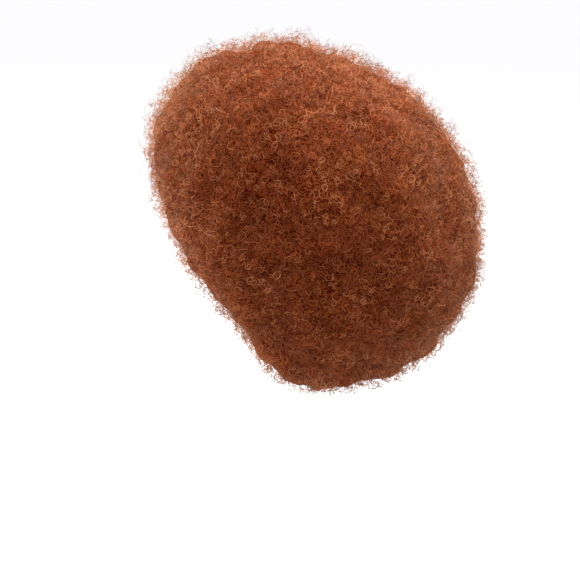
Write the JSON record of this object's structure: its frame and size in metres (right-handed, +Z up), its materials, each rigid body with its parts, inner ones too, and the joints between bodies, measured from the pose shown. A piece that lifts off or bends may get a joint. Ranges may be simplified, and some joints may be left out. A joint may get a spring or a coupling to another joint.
{
  "type": "afro wig",
  "caption": "Large round afro wig: a deep soft body of tight curls on a net cap with ear tabs and an elastic edge band, hollow for the head and open at the face.",
  "frame": {"origin": "inside of the cap's crown, where the top of the head touches it", "axes": "+Z up, the face looks along -Y, and the wearer's left side is +X"},
  "size_m": [0.4356, 0.4188, 0.4176],
  "materials": {
    "net": "matt knitted net, dark brown",
    "band": "matt woven elastic, dark brown",
    "hair": "matt frizzy curls, ginger brown with darker roots"
  },
  "bodies": {
    "root": {"net_cap": "net", "edge_band": "band", "afro_hair": "hair"}
  },
  "joints": []
}
